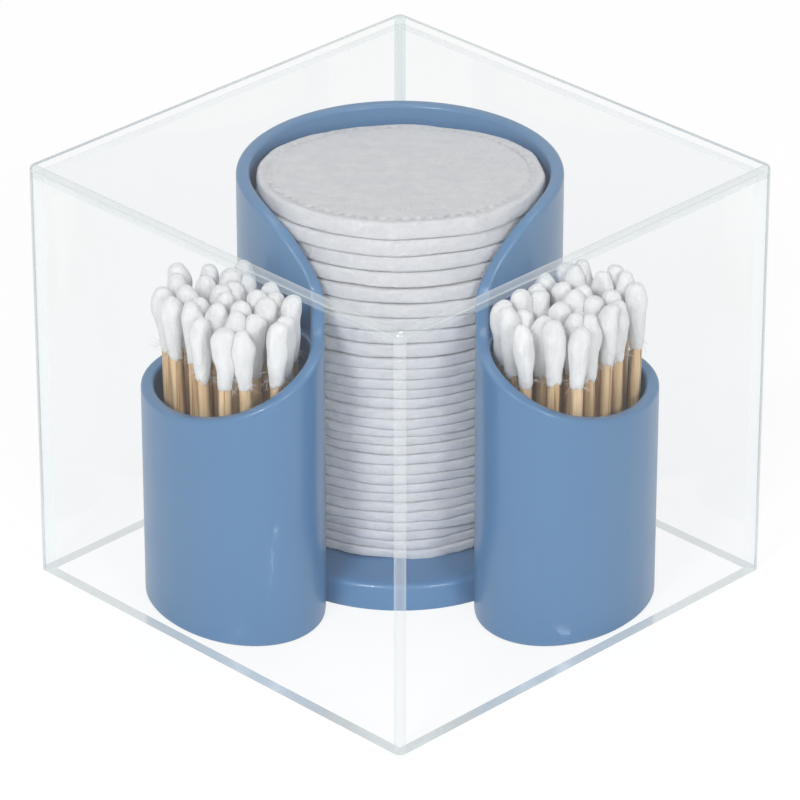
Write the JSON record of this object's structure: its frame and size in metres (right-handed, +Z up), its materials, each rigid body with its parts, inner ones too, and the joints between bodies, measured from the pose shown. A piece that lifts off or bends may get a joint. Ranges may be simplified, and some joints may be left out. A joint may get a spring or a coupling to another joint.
{
  "type": "cotton pad holder",
  "caption": "Moulded tower for a stack of round cotton pads, with two oval cups of cotton buds at its front corners, under a clear square lift-off dust cover.",
  "frame": {"origin": "on the table, at the middle of the square cover's footprint", "axes": "+Z up; -Y towards the user, along the finger slot and the cover's front corner; +X to the user's right"},
  "size_m": [0.1514, 0.1514, 0.094],
  "materials": {
    "blue_plastic": "satin",
    "cotton": "matte",
    "bamboo": "matte",
    "clear_acrylic": "polished"
  },
  "bodies": {
    "holder": {"holder_body": "blue_plastic", "cotton_pad_01": "cotton", "cotton_pad_02": "cotton", "cotton_pad_03": "cotton", "cotton_pad_04": "cotton", "cotton_pad_05": "cotton", "cotton_pad_06": "cotton", "cotton_pad_07": "cotton", "cotton_pad_08": "cotton", "cotton_pad_09": "cotton", "cotton_pad_10": "cotton", "cotton_pad_11": "cotton", "cotton_pad_12": "cotton", "cotton_pad_13": "cotton", "cotton_pad_14": "cotton", "cotton_pad_15": "cotton", "cotton_pad_16": "cotton", "cotton_pad_17": "cotton", "cotton_pad_18": "cotton", "cotton_pad_19": "cotton", "cotton_pad_20": "cotton", "cotton_pad_21": "cotton", "cotton_pad_22": "cotton", "cotton_pad_23": "cotton", "cotton_pad_24": "cotton", "cotton_pad_25": "cotton", "cotton_pad_26": "cotton", "cotton_pad_27": "cotton", "cotton_pad_28": "cotton", "cotton_pad_29": "cotton", "cotton_pad_30": "cotton", "left_bud_sticks": "bamboo", "left_bud_upper_tips": "cotton", "left_bud_lower_tips": "cotton", "right_bud_sticks": "bamboo", "right_bud_upper_tips": "cotton", "right_bud_lower_tips": "cotton"},
    "cover": {"cover_top": "clear_acrylic", "cover_front_left": "clear_acrylic", "cover_front_right": "clear_acrylic", "cover_back_left": "clear_acrylic", "cover_back_right": "clear_acrylic"}
  },
  "joints": [
    {"name": "cover_lift", "type": "slide", "parent": "holder", "child": "cover", "axis": [0, 0, 1], "range_m": [0, 0.1]}
  ]
}
